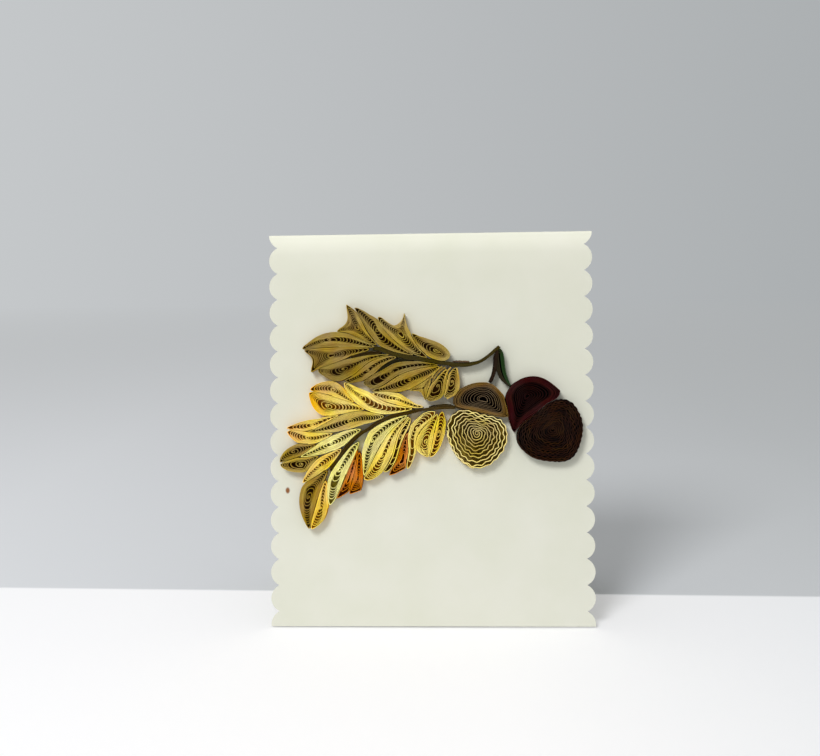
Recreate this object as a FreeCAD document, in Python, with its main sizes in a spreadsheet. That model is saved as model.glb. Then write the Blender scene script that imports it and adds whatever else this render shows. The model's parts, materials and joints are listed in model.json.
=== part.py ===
"""Quilled greeting card: a tent-fold card with an oak twig, two leaves and two acorns in rolled paper.

Millimetres, +Z up, origin on the table under the fold, front panel towards -Y.
Outlines of the quilled rolls are drawn on the front panel: x is across from the middle of the card,
y is up along the panel from its bottom edge.
"""
import FreeCAD, Part
import math
import os

import Sketcher
from FreeCAD import Placement, Rotation, Vector

# ---------------------------------------------------------------- driving dimensions
SIZES = [
    ("card_width", 105.0, "from scallop tip to scallop tip"),
    ("panel_height", 127.5, "from the bottom edge to the fold, along the panel"),
    ("card_thickness", 0.35, "300 g/m2 card"),
    ("fold_radius", 0.8, "outside of the fold"),
    ("lean_angle", 10.0, "degrees that each panel leans from the vertical"),
    ("scallop_pitch", 8.46, "along the side edges"),
    ("scallop_depth", 2.7, "from tip to notch"),
    ("strip_width", 3.0, "width of the quilling strips, so the height of every roll"),
    ("motif_margin", 0.3, "least distance from the motif to the line of the notches"),
    ("motif_lift", 4.25, "middle of the motif above the middle of the panel"),
    ("eye_length", 1.2, "open eye in the middle of a small roll"),
    ("eye_width", 0.5, "open eye in the middle of a small roll"),
]

# The motif is drawn at this reach from the middle of the card, about this height on the panel.
DRAWN_REACH = 49.5
DRAWN_MIDDLE = 68.0

# ---------------------------------------------------------------- outlines
# A pinched roll is (sides, eye centre, eye size).  Each side starts at a pinched corner and runs through
# its points to the corner that starts the next side.  Eye size 1 is a small eye.
UPPER_LEAF = [
    ([[(-42.0, 90.2), (-38.5, 93.2), (-35.0, 95.0), (-31.0, 95.5), (-27.0, 94.8), (-23.0, 93.0),
       (-20.0, 91.6)],
      [(-17.9, 90.6), (-25.0, 90.8), (-35.0, 90.6)]],
     (-32.9, 93.2), 0.9),
    ([[(-41.4, 89.7), (-35.0, 90.4), (-27.0, 90.6), (-22.5, 90.3)],
      [(-19.8, 89.9), (-24.5, 88.4), (-28.0, 87.0), (-32.0, 85.5), (-36.5, 84.1)],
      [(-39.1, 82.5), (-38.7, 84.6), (-38.5, 86.4), (-39.5, 88.2)]],
     (-32.2, 88.0), 1.3),
    ([[(-27.3, 104.7), (-24.9, 102.4), (-22.8, 99.6), (-21.2, 96.6), (-19.2, 93.4)],
      [(-17.4, 91.2), (-20.0, 92.3), (-23.0, 93.6), (-26.0, 95.1), (-28.4, 95.8)],
      [(-30.7, 95.9), (-28.6, 97.4), (-27.2, 99.0), (-26.9, 101.4)]],
     (-23.8, 96.9), 1.2),
    ([[(-24.7, 103.5), (-22.0, 102.6), (-19.8, 101.2), (-17.4, 99.5), (-14.9, 95.9),
       (-11.5, 92.3), (-8.3, 89.6)],
      [(-5.2, 87.8), (-10.4, 88.7), (-15.6, 90.7), (-18.7, 93.4), (-20.9, 96.8), (-22.8, 100.6)]],
     (-17.2, 95.9), 1.7),
    ([[(-17.0, 100.4), (-14.4, 99.0), (-11.7, 97.5), (-10.0, 98.4)],
      [(-8.4, 101.9), (-7.4, 97.0), (-6.2, 94.0), (-4.6, 90.8), (-2.6, 88.2)],
      [(-0.8, 86.9), (-4.6, 88.0), (-8.0, 89.8), (-11.2, 92.4), (-14.6, 96.0), (-16.6, 98.8)]],
     (-9.5, 94.7), 1.2),
    ([[(-6.0, 95.0), (-2.8, 93.7), (2.3, 91.9), (5.2, 89.9), (6.3, 87.6), (4.4, 86.1),
       (1.2, 86.7), (-2.0, 88.9),
       (-4.4, 91.7)]],
     (1.4, 89.2), 1.0),
    ([[(-36.8, 83.7), (-33.0, 84.7), (-29.5, 85.9), (-26.0, 86.8), (-22.0, 87.5), (-17.5, 87.9)],
      [(-12.8, 88.1), (-16.7, 87.2), (-20.9, 85.2), (-24.0, 82.6), (-27.0, 80.6), (-30.3, 79.8),
       (-34.4, 81.1),
       (-36.3, 82.6)]],
     (-28.3, 83.5), 1.1),
    ([[(-28.0, 79.8), (-26.5, 80.5), (-23.8, 82.4), (-20.7, 85.0), (-16.7, 86.9), (-13.6, 87.4)],
      [(-10.9, 87.2), (-13.6, 86.1), (-16.2, 84.2), (-18.9, 81.6), (-22.0, 79.9), (-25.0, 79.3)]],
     (-20.3, 83.2), 0.9),
    ([[(-21.9, 79.0), (-20.4, 80.4), (-17.8, 81.9), (-14.8, 83.4), (-12.0, 84.9), (-9.2, 85.6), (-3.6, 85.6)],
      [(2.9, 84.5), (-1.0, 84.1), (-6.0, 83.1), (-11.0, 81.1), (-14.2, 79.0), (-17.0, 77.6), (-20.0, 77.5)]],
     (-12.8, 82.3), 1.1),
    ([[(-19.0, 76.4), (-16.5, 77.4), (-14.0, 78.8), (-10.9, 80.8), (-6.0, 82.8), (-1.0, 83.8)],
      [(2.9, 84.1), (0.4, 81.4), (-3.7, 78.6), (-7.5, 76.7), (-12.1, 75.9)]],
     (-6.6, 79.9), 1.2),
    ([[(0.1, 80.7), (-0.9, 77.0)],
      [(-1.9, 73.1), (-2.9, 75.5)],
      [(-6.9, 76.3), (-3.4, 78.3)]],
     (-2.4, 77.1), 0.6),
    ([[(5.4, 83.0), (5.1, 80.0), (4.6, 77.3), (4.0, 75.0), (1.8, 73.2)],
      [(-1.5, 73.5), (-0.7, 76.0), (0.9, 78.8), (3.2, 81.6)]],
     (2.2, 77.8), 1.2),
    ([[(8.3, 83.7), (9.0, 80.1), (8.5, 76.8), (7.2, 74.8)],
      [(4.4, 74.2), (4.9, 76.5), (5.5, 79.8), (6.8, 82.4)]],
     (6.6, 79.1), 1.0),
]

LOWER_LEAF = [
    ([[(-39.4, 76.9), (-36.5, 78.9), (-33.4, 79.4), (-30.3, 78.6), (-27.7, 75.8)],
      [(-24.9, 72.5), (-28.8, 73.7), (-32.7, 75.0), (-36.4, 76.0)]],
     (-32.0, 76.6), 2.2),
    ([[(-39.7, 75.9), (-36.3, 75.7), (-32.6, 74.7), (-28.6, 73.4), (-24.5, 71.9)],
      [(-21.6, 70.2), (-25.0, 69.9), (-30.0, 68.9), (-33.5, 68.4), (-36.6, 69.2), (-38.7, 71.8)]],
     (-33.6, 71.4), 1.4),
    ([[(-28.2, 79.2), (-25.8, 78.1), (-22.0, 76.6), (-19.6, 75.4), (-17.5, 73.9), (-15.0, 72.6),
       (-9.8, 71.2)],
      [(-5.8, 70.4), (-9.0, 69.7), (-13.5, 69.1), (-18.0, 69.3), (-22.1, 70.7), (-25.1, 73.3),
       (-27.3, 76.6)]],
     (-22.6, 74.4), 1.6),
    ([[(-19.1, 75.5), (-15.0, 75.9), (-12.0, 75.6), (-9.8, 74.9), (-7.4, 73.5), (-5.0, 71.9)],
      [(-2.2, 70.9), (-7.0, 71.1), (-10.5, 71.7), (-14.8, 72.9), (-17.2, 74.1)]],
     (-11.1, 73.6), 1.2),
    ([[(-47.2, 64.4), (-43.5, 66.0), (-40.0, 66.9), (-36.5, 67.3), (-33.2, 68.0)],
      [(-29.8, 68.6), (-32.8, 67.0), (-36.6, 64.9), (-40.4, 63.5), (-44.0, 63.8)]],
     (-38.7, 65.3), 1.0),
    ([[(-47.0, 63.2), (-44.0, 63.6), (-41.0, 63.1), (-38.0, 62.7), (-35.0, 62.7)],
      [(-32.2, 62.5), (-33.8, 61.6), (-36.5, 60.2), (-39.6, 59.3), (-42.7, 59.5), (-45.6, 61.2)]],
     (-40.2, 61.2), 1.5),
    ([[(-40.5, 63.2), (-36.7, 64.6), (-32.6, 66.8), (-29.4, 68.3), (-24.2, 69.5), (-18.5, 68.9)],
      [(-15.2, 67.9), (-18.0, 66.8), (-22.2, 65.5), (-28.4, 63.9), (-33.6, 62.9), (-37.4, 62.9)]],
     (-26.2, 66.6), 1.6),
    ([[(-42.8, 55.0), (-39.6, 57.2), (-35.5, 59.7), (-31.3, 61.8), (-26.5, 63.3)],
      [(-22.8, 63.8), (-26.2, 60.8), (-29.3, 58.5), (-32.0, 57.1), (-35.5, 56.1), (-39.5, 55.2)]],
     (-32.3, 59.4), 1.2),
    ([[(-49.4, 53.1), (-48.9, 55.3), (-46.9, 57.6), (-43.8, 58.9), (-40.5, 58.9)],
      [(-37.6, 58.9), (-40.2, 57.1), (-43.0, 55.2), (-46.5, 54.1)]],
     (-44.9, 56.7), 1.6),
    ([[(-49.4, 52.6), (-46.5, 53.8), (-43.2, 54.7), (-39.5, 54.9)],
      [(-35.6, 55.5), (-38.7, 53.2), (-40.7, 50.5), (-43.5, 50.0), (-46.3, 50.4), (-48.4, 51.4)]],
     (-42.8, 52.6), 1.5),
    ([[(-42.1, 46.4), (-40.6, 49.6), (-38.6, 52.6), (-36.1, 54.4), (-32.3, 56.3)],
      [(-29.3, 57.5), (-31.0, 54.6), (-33.4, 52.0), (-37.0, 49.2), (-40.0, 47.5)]],
     (-36.8, 52.1), 1.0),
    ([[(-39.9, 31.4), (-41.4, 33.8), (-42.7, 37.2), (-43.1, 41.5), (-41.9, 45.4), (-38.5, 47.9)],
      [(-33.9, 50.6), (-35.1, 47.4), (-36.6, 43.5), (-37.9, 39.2), (-39.1, 35.2)]],
     (-40.2, 41.9), 1.2),
    ([[(-39.3, 31.4), (-38.8, 35.2), (-37.6, 39.2), (-36.3, 43.5)],
      [(-34.6, 47.2), (-34.2, 44.5), (-34.1, 41.0), (-34.1, 37.6), (-35.3, 34.4), (-37.6, 32.3)]],
     (-36.2, 38.4), 1.0),
    ([[(-33.2, 39.2), (-33.7, 41.8), (-33.7, 45.7), (-32.4, 50.0), (-29.3, 54.4), (-26.3, 57.6)],
      [(-23.6, 59.8), (-24.8, 55.9), (-26.8, 51.6), (-29.2, 46.0), (-31.4, 41.5)]],
     (-29.7, 50.9), 1.8),
    ([[(-31.2, 41.0), (-29.0, 45.6), (-26.5, 51.5), (-25.0, 55.0)],
      [(-24.0, 57.6), (-24.4, 53.8), (-25.2, 50.0), (-26.4, 45.8)],
      [(-27.6, 43.0), (-29.6, 42.0)]],
     (-26.7, 48.0), 0.7),
    ([[(-26.8, 42.6), (-25.9, 46.0), (-24.9, 50.0), (-24.1, 53.8)],
      [(-23.5, 56.8), (-22.7, 54.0), (-22.4, 50.5), (-22.5, 46.7)],
      [(-23.1, 43.8), (-25.0, 43.1)]],
     (-23.9, 48.0), 0.9),
    ([[(-22.0, 48.6), (-22.3, 52.0), (-22.1, 57.1), (-20.2, 62.3), (-16.4, 65.3), (-11.8, 67.3)],
      [(-7.6, 68.4), (-10.0, 66.2), (-12.8, 63.8), (-15.6, 60.2), (-18.3, 55.5), (-20.6, 51.0)]],
     (-19.0, 60.2), 1.4),
    ([[(-22.0, 47.7), (-20.3, 51.0), (-18.0, 55.4), (-15.3, 60.1), (-12.5, 63.7), (-9.6, 66.2)],
      [(-6.9, 68.0), (-8.6, 65.9), (-10.3, 63.4), (-11.9, 58.8), (-12.8, 55.5), (-14.6, 51.9), (-17.1, 49.0),
       (-20.2, 47.4)]],
     (-15.7, 55.2), 1.2),
    ([[(-15.7, 49.8), (-14.2, 51.9), (-12.5, 55.4), (-11.6, 58.8), (-10.0, 63.4), (-8.3, 65.9)],
      [(-6.7, 67.5), (-8.1, 63.0), (-10.2, 58.0), (-11.2, 54.6), (-13.4, 51.2)]],
     (-11.5, 56.4), 0.8),
    ([[(-14.0, 48.6), (-12.6, 51.0), (-10.9, 54.4), (-9.8, 58.0), (-8.5, 61.4)],
      [(-7.6, 63.2), (-7.8, 60.0), (-7.7, 56.5), (-8.3, 53.2)],
      [(-8.4, 51.0), (-10.3, 50.0), (-12.3, 49.0)]],
     (-9.2, 54.0), 0.8),
    ([[(1.4, 69.4), (-0.6, 69.2), (-4.4, 67.3), (-6.6, 64.4), (-7.4, 60.5), (-7.2, 56.5), (-7.6, 53.5)],
      [(-7.9, 50.8), (-6.2, 53.2), (-5.2, 56.4), (-5.1, 60.0), (-4.1, 62.6), (-1.4, 65.8), (0.4, 67.6)]],
     (-5.9, 60.8), 1.0),
    ([[(2.1, 68.7), (1.7, 66.0), (0.7, 61.8), (0.0, 58.0)],
      [(-1.0, 54.7), (-2.7, 55.4), (-4.2, 56.7), (-4.8, 58.8), (-3.9, 62.2), (-1.1, 65.5)]],
     (-1.9, 59.6), 1.6),
    ([[(3.8, 69.4), (4.4, 67.2), (4.2, 62.6), (3.2, 58.8), (1.3, 55.8)],
      [(-0.6, 54.6), (0.3, 58.0), (1.0, 61.8), (2.0, 66.0)]],
     (2.3, 62.6), 1.2),
]

ACORN_CUPS = {
    "left_acorn_cup": (
        [[(7.3, 71.7), (9.3, 76.2), (12.7, 78.1), (16.8, 78.7), (20.3, 77.8), (23.2, 75.0), (24.5, 71.4)],
         [(25.0, 67.6), (20.5, 68.2), (15.5, 69.4), (11.0, 70.4)]],
        (17.1, 73.4), 1.5),
    "right_acorn_cup": (
        [[(26.9, 62.6), (26.0, 64.8), (25.4, 67.5), (25.2, 70.0), (24.5, 74.0), (26.4, 77.6), (29.3, 79.7),
          (32.6, 80.5), (35.7, 80.1), (38.9, 78.4)],
         [(42.0, 75.9), (41.0, 73.9), (38.0, 72.1), (35.3, 69.9), (32.4, 67.8), (29.2, 65.5)]],
        (31.2, 74.3), 1.5),
}

# A nut is a smooth round roll with no pinched corner: (points, eye centre, eye size).
ACORN_NUTS = {
    "left_acorn_nut": (
        [(5.0, 63.3), (6.1, 67.2), (8.0, 69.2), (11.0, 70.0), (15.0, 69.0), (19.0, 67.9), (22.2, 66.8),
         (24.2, 64.5), (24.7, 61.0), (23.9, 57.6), (22.2, 55.0), (19.6, 52.5), (16.4, 51.1), (13.9, 50.8),
         (11.2, 51.8), (8.2, 54.6), (6.1, 58.5)],
        (14.9, 62.3), 0.7),
    "right_acorn_nut": (
        [(27.8, 61.5), (29.5, 65.1), (32.6, 67.5), (35.5, 69.6), (38.2, 71.7), (41.5, 73.0), (45.0, 72.4),
         (47.2, 69.9), (48.9, 65.2), (48.7, 61.4), (47.6, 57.6), (45.6, 54.4), (43.5, 53.2), (39.6, 52.9),
         (36.0, 53.3), (33.0, 54.2), (29.9, 56.5), (28.2, 58.7)],
        (39.5, 63.3), 0.7),
}

# A stem is glued strips standing on edge: (points along its middle, width of the bundle).
STEMS = {
    "upper_leaf_stem": (
        [(-18.8, 90.0), (-16.0, 89.8), (-13.0, 88.7), (-10.0, 87.8), (-7.0, 87.2), (-3.0, 86.6), (1.0, 85.8),
         (4.5, 85.2), (8.5, 84.6), (12.5, 84.8), (15.0, 85.2), (17.5, 86.4), (20.0, 88.3),
         (22.1, 90.2)], 0.9),
    "upper_leaf_vein": (
        [(-26.0, 87.3), (-24.0, 87.9), (-21.0, 88.5), (-18.5, 88.8), (-16.0, 88.7)], 0.5),
    "upper_leaf_side_vein": (
        [(-17.0, 82.9), (-14.8, 84.3), (-12.0, 85.8), (-9.0, 86.3), (-5.5, 86.2)], 0.4),
    "stalk_strand": (
        [(7.2, 85.8), (9.5, 85.6), (12.6, 85.6)], 0.3),
    "left_acorn_stalk": (
        [(21.5, 88.4), (21.0, 85.8), (20.6, 82.6), (20.0, 80.4), (19.2, 78.8)], 0.9),
    "lower_leaf_stem": (
        [(6.6, 70.6), (2.0, 70.5), (-1.5, 70.2), (-5.0, 69.6), (-9.0, 68.7), (-12.0, 68.1), (-15.5, 66.8),
         (-18.5, 65.2), (-21.0, 63.6), (-24.0, 61.8), (-26.6, 59.2), (-28.6, 56.6), (-30.3, 54.2),
         (-32.0, 51.9), (-33.0, 50.4)], 0.7),
    "lower_leaf_strand": (
        [(6.6, 71.6), (3.0, 71.4), (-0.6, 71.0)], 0.3),
}

# The right acorn hangs from a strip folded into a narrow loop: its outside and its inside.
ACORN_LOOP = (
    [[(22.9, 90.0), (23.8, 87.5), (24.5, 83.7), (25.1, 80.6)],
     [(26.1, 77.9), (23.9, 78.7), (22.4, 81.0), (22.1, 84.0), (22.4, 87.5)]],
    [[(22.9, 88.3), (23.4, 86.0), (24.0, 83.5), (24.5, 81.0)],
     [(24.9, 79.2), (23.8, 79.8), (22.9, 81.4), (22.6, 84.0), (22.7, 86.5)]],
)

# ---------------------------------------------------------------- document and sheet
doc = FreeCAD.newDocument("QuilledCard")
sheet = doc.addObject("Spreadsheet::Sheet", "Sizes")
for row, (alias, value, note) in enumerate(SIZES, start=1):
    sheet.set(f"A{row}", alias)
    sheet.set(f"B{row}", str(value))
    sheet.set(f"C{row}", note)
    sheet.setAlias(f"B{row}", alias)
doc.recompute()


def size(alias):
    return float(getattr(sheet, alias))


lean = math.radians(size("lean_angle"))
straight_panel = size("panel_height") - size("fold_radius")
inner_radius = size("fold_radius") - size("card_thickness")
fold_axis_height = straight_panel * math.cos(lean) - inner_radius * math.sin(lean)
half_width = size("card_width") / 2
motif_scale = (half_width - size("scallop_depth") - size("motif_margin")) / DRAWN_REACH
motif_middle = size("panel_height") / 2 + size("motif_lift")

# Frame of the front panel's outer face: origin at the middle of its bottom edge, y up the panel, z outwards.
front_face = Placement(
    Vector(0,
           -size("fold_radius") * math.cos(lean) - straight_panel * math.sin(lean),
           fold_axis_height + size("fold_radius") * math.sin(lean) - straight_panel * math.cos(lean)),
    Rotation(Vector(1, 0, 0), 90 - size("lean_angle")))
back_face = Placement(Vector(), Rotation(Vector(0, 0, 1), 180)).multiply(front_face)


def on_panel(point):
    """Place of a drawn point on the front panel, in the panel's own frame."""
    across, up = point
    return Vector(across * motif_scale, motif_middle + (up - DRAWN_MIDDLE) * motif_scale, 0)


# ---------------------------------------------------------------- curves
def spline(points, closed=False):
    curve = Part.BSplineCurve()
    curve.interpolate(Points=points, PeriodicFlag=closed)
    return curve


def pinched_outline(sides):
    """One curve for each side, from its corner to the next side's corner."""
    curves = []
    for this_side, next_side in zip(sides, sides[1:] + sides[:1]):
        curves.append(spline([on_panel(p) for p in this_side + next_side[:1]]))
    return curves


def round_outline(points):
    return [spline([on_panel(p) for p in points], closed=True)]


def eye_outline(centre, eye_size, first_corner):
    """Ellipse whose long axis points at the roll's first corner."""
    middle = on_panel(centre)
    along = (on_panel(first_corner) - middle).normalize()
    across = Vector(-along.y, along.x, 0)
    half_length = eye_size * size("eye_length") / 2
    half_eye_width = eye_size * size("eye_width") / 2
    return [Part.Ellipse(middle + along * half_length, middle + across * half_eye_width, middle)]


def strip_outline(points, width):
    """Two curves at half the width from the middle line, joined by square ends."""
    middle_line = spline([on_panel(p) for p in points])
    edges = {1: [], -1: []}
    for point in points:
        at = middle_line.parameter(on_panel(point))
        tangent = Vector(middle_line.tangent(at)[0])
        normal = Vector(-tangent.y, tangent.x, 0)
        for side in edges:
            edges[side].append(middle_line.value(at) + normal * (side * width / 2))
    left, right = edges[1], edges[-1]
    return [
        spline(left),
        Part.LineSegment(left[-1], right[-1]),
        spline(right[::-1]),
        Part.LineSegment(right[0], left[0]),
    ]


# ---------------------------------------------------------------- bodies
def origin_plane(body, role):
    return next(f for f in body.Origin.OriginFeatures if f.Role == role)


def new_sketch(body, name, role):
    sketch = body.newObject("Sketcher::SketchObject", name)
    sketch.AttachmentSupport = (origin_plane(body, role), [""])
    sketch.MapMode = "FlatFace"
    return sketch


def quilled_piece(label, curves):
    """Rolled or glued paper strips standing on the front panel."""
    body = doc.addObject("PartDesign::Body", label)
    body.Label = label
    sketch = new_sketch(body, label + "_outline", "XY_Plane")
    sketch.addGeometry(curves, False)
    pad = body.newObject("PartDesign::Pad", label + "_pad")
    pad.Profile = sketch
    pad.setExpression("Length", "Sizes.strip_width")
    body.Placement = front_face
    return body


def mirror(v):
    """The same point on the other panel."""
    return Vector(-v.x, v.y, 0)


def card_profile(body):
    """Section of the folded sheet: two leaning panels joined by a rounded fold."""
    sketch = new_sketch(body, "card_profile", "YZ_Plane")
    centre = Vector(0, fold_axis_height, 0)
    up = Vector(math.sin(lean), math.cos(lean), 0)
    out = Vector(-math.cos(lean), math.sin(lean), 0)
    ends = {}
    for name, radius in (("outer", size("fold_radius")), ("inner", inner_radius)):
        top = centre + out * radius
        ends[name] = (top - up * straight_panel, top)
    outer_low, outer_top = ends["outer"]
    inner_low, inner_top = ends["inner"]
    crest = centre + Vector(0, size("fold_radius"), 0)
    inner_crest = centre + Vector(0, inner_radius, 0)
    sketch.addGeometry([
        Part.LineSegment(outer_low, outer_top),
        Part.ArcOfCircle(outer_top, crest, mirror(outer_top)),
        Part.LineSegment(mirror(outer_top), mirror(outer_low)),
        Part.LineSegment(mirror(outer_low), mirror(inner_low)),
        Part.LineSegment(mirror(inner_low), mirror(inner_top)),
        Part.ArcOfCircle(mirror(inner_top), inner_crest, inner_top),
        Part.LineSegment(inner_top, inner_low),
        Part.LineSegment(inner_low, outer_low),
    ], False)
    return sketch


def scallop_cutter(body, name, face):
    """Everything outside the scalloped side edges of one panel, drawn on that panel's outer face."""
    sketch = new_sketch(body, name, "XZ_Plane")
    upright = Placement(Vector(), Rotation(Vector(1, 0, 0), 90))
    sketch.AttachmentOffset = upright.inverse().multiply(face)
    pitch = size("scallop_pitch")
    notch = half_width - size("scallop_depth")
    outside = half_width + size("scallop_depth")
    scallops = math.ceil(size("panel_height") / pitch) + 1
    for side in (1, -1):
        curves = []
        for index in range(scallops):
            middle = size("panel_height") - index * pitch
            curves.append(Part.ArcOfCircle(
                Vector(side * notch, middle + pitch / 2, 0),
                Vector(side * half_width, middle, 0),
                Vector(side * notch, middle - pitch / 2, 0)))
        top = size("panel_height") + pitch / 2
        low = top - scallops * pitch
        corners = [Vector(side * x, y, 0) for x, y in
                   ((notch, low), (outside, low), (outside, top), (notch, top))]
        curves += [Part.LineSegment(a, b) for a, b in zip(corners, corners[1:])]
        sketch.addGeometry(curves, False)
    return sketch


def card_blank():
    body = doc.addObject("PartDesign::Body", "card_blank")
    body.Label = "card_blank"
    pad = body.newObject("PartDesign::Pad", "folded_sheet")
    pad.Profile = card_profile(body)
    pad.SideType = "Symmetric"
    pad.setExpression("Length", "Sizes.card_width")
    doc.recompute()
    for name, face in (("front_scallops", front_face), ("back_scallops", back_face)):
        before = body.Shape.Volume
        pocket = body.newObject("PartDesign::Pocket", name)
        pocket.Profile = scallop_cutter(body, name + "_outline", face)
        pocket.setExpression("Length", "Sizes.fold_radius + Sizes.card_thickness")
        doc.recompute()
        if body.Shape.Volume >= before:
            raise RuntimeError(f"{name} cut nothing")
    return body


pieces = [card_blank()]
for leaf, rolls in (("upper_leaf", UPPER_LEAF), ("lower_leaf", LOWER_LEAF)):
    for number, (sides, eye, eye_size) in enumerate(rolls, start=1):
        outline = pinched_outline(sides) + eye_outline(eye, eye_size, sides[0][0])
        pieces.append(quilled_piece(f"{leaf}_roll_{number:02d}", outline))
for label, (sides, eye, eye_size) in ACORN_CUPS.items():
    pieces.append(quilled_piece(label, pinched_outline(sides) + eye_outline(eye, eye_size, sides[0][0])))
for label, (points, eye, eye_size) in ACORN_NUTS.items():
    pieces.append(quilled_piece(label, round_outline(points) + eye_outline(eye, eye_size, points[0])))
for label, (points, width) in STEMS.items():
    pieces.append(quilled_piece(label, strip_outline(points, width * motif_scale)))
outside_of_loop, inside_of_loop = ACORN_LOOP
loop_outline = pinched_outline(outside_of_loop) + pinched_outline(inside_of_loop)
pieces.append(quilled_piece("right_acorn_stalk", loop_outline))

doc.recompute()

# ---------------------------------------------------------------- checks and files
for item in doc.Objects:
    if "Invalid" in item.State or "Error" in item.State:
        raise RuntimeError(f"{item.Label} failed: {item.State}")
for piece in pieces:
    shape = piece.Shape
    if shape.isNull() or not shape.isValid() or len(shape.Solids) != 1:
        raise RuntimeError(f"{piece.Label} is not one valid solid")

os.makedirs("parts", exist_ok=True)
for piece in pieces:
    piece.Shape.exportStep(f"parts/{piece.Label}.step")
print(f"{len(pieces)} pieces, fold at {fold_axis_height + size('fold_radius'):.2f} mm")
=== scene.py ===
"""Looks of the quilled greeting card: scalloped tent card, oak twig of rolled paper strips standing on it.

Strips are worked out in millimetres on the front panel: a is across from the card's middle line, b is up the
panel from its bottom edge and the height is outwards from the panel.
"""
import json
import math

import bpy
import numpy as np
from mathutils import Matrix, Vector


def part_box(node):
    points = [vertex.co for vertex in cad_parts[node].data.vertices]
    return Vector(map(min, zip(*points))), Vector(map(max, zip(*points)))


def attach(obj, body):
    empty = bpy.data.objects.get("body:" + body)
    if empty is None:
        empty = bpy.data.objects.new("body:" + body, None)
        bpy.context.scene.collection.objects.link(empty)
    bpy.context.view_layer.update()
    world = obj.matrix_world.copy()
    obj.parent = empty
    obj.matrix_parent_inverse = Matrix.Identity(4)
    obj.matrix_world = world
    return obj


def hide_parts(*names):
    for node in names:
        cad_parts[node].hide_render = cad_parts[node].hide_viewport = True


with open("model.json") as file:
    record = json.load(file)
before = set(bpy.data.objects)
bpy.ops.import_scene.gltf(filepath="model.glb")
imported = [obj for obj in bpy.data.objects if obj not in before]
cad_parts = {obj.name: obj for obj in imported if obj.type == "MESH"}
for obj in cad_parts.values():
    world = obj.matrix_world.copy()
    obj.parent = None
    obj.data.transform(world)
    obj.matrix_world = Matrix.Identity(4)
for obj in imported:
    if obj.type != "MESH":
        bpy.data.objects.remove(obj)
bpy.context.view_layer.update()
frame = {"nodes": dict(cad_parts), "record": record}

MM = 0.001
PAPER = 0.14            # thickness of a quilling strip
CUP_PAPER = 0.13        # the thinner strips of the acorn cups
OPEN_PAPER = 0.165      # the thicker strips of the rolls that stand open
LOOP_PAPER = 0.34       # the glued strips of the loop that holds the right acorn
STRIP = 3.0             # the width of a strip, which is how far a roll stands off the card
LEAN = math.radians(10)
CARD = 0.35             # thickness of the card
CARD_HEIGHT = 0.1255    # how high the fold stands, in metres
VIEW_FOOT = np.array([5.1, 76.4])   # the point of the panel straight in front of the viewer
SETTLE = 0.99           # strips stand this much closer to it than their solids, about 0.5 mm at most
GRID = 0.1              # step of the field that the turns are read from
SHARP = 30              # degrees of turn that make a corner of an outline
FILM = 0.06             # height of the film of glue under a piece, whose dark colour is painted shade
ROLL_GAP = 0.12         # half the gap that swollen rolls leave between them
FILM_GAP = 0.01         # and half the gap between their films, whose dark colour is painted shade between the pieces
SWELLING = 0.42         # the most that a soft roll swells towards what lies beside it
NEIGHBOURS = 9          # how many pieces round about it can touch
BEAD_PITCH = 0.95       # a roll has one turn for this much of the way from its tips to its eye
WIDEST = 1.05           # the widest opening that a turn leaves in a pinched corner
LOOSENING = 5.0         # the power with which turns open out towards the eye
ROLL_POINTS = 112       # points in a turn of a pinched roll
COIL_POINTS = 150       # points in a turn of an off-centre coil
AROUND = 720            # places round an outline at which it is measured
STAIN = (-46.9, 44.1)   # the middle of the brown stain on the panel
WARM_END = 6.5          # how far the warm tips reach from the left-hand end of their roll
WARM_FADE = 5.5         # the stretch over which they fade
WARM_TINT = np.array([0.97, 0.76, 0.5])
FLOOR_DROP = 0.5        # how far the floor lies under the card's foot
CAMERA_SPOT = (0.0051, -0.3049, 0.1274)
CAMERA_ANGLES = (9.23, -2.28, -0.88)    # elevation, azimuth and roll, in degrees
FOCAL_LENGTH = 924 / 820                # in picture widths
SENSOR = 36
rng = np.random.default_rng(7)

# ---------------------------------------------------------------- the front panel's frame
low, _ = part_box("card_blank")
ORIGIN = np.array([0, low.y, low.z + CARD * MM * math.sin(LEAN)])
ACROSS = np.array([1.0, 0, 0])
UP = np.array([0, math.sin(LEAN), math.cos(LEAN)])
OUT = np.array([0, -math.cos(LEAN), math.sin(LEAN)])


def to_world(a, b, height):
    return ORIGIN + MM * (np.outer(a, ACROSS) + np.outer(b, UP) + np.outer(height, OUT))


def outlines(node):
    """Closed lines around the top of a CAD node, in panel millimetres, the outer one first."""
    mesh = frame["nodes"][node].data
    world = np.array([v.co for v in mesh.vertices], float) - ORIGIN
    flat = np.stack([world @ ACROSS, world @ UP, world @ OUT], 1) / MM
    seen, index = {}, []
    for p in flat:
        index.append(seen.setdefault(tuple(np.round(p, 3)), len(seen)))
    points = np.array(list(seen))
    edges = set()
    for face in mesh.polygons:
        if all(flat[v][2] > STRIP - 0.05 for v in face.vertices):
            corners = [index[v] for v in face.vertices]
            for start, end in zip(corners, corners[1:] + corners[:1]):
                if (end, start) in edges:
                    edges.remove((end, start))
                else:
                    edges.add((start, end))
    follows, loops = dict(edges), []
    while follows:
        at, loop = min(follows), []
        while at in follows:
            loop.append(at)
            at = follows.pop(at)
        loops.append(points[loop][:, :2])
    return sorted(loops, key=lambda loop: -abs(signed_area(loop)))


def signed_area(loop):
    after = np.roll(loop, -1, 0)
    return 0.5 * np.sum(loop[:, 0] * after[:, 1] - loop[:, 1] * after[:, 0])


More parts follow.
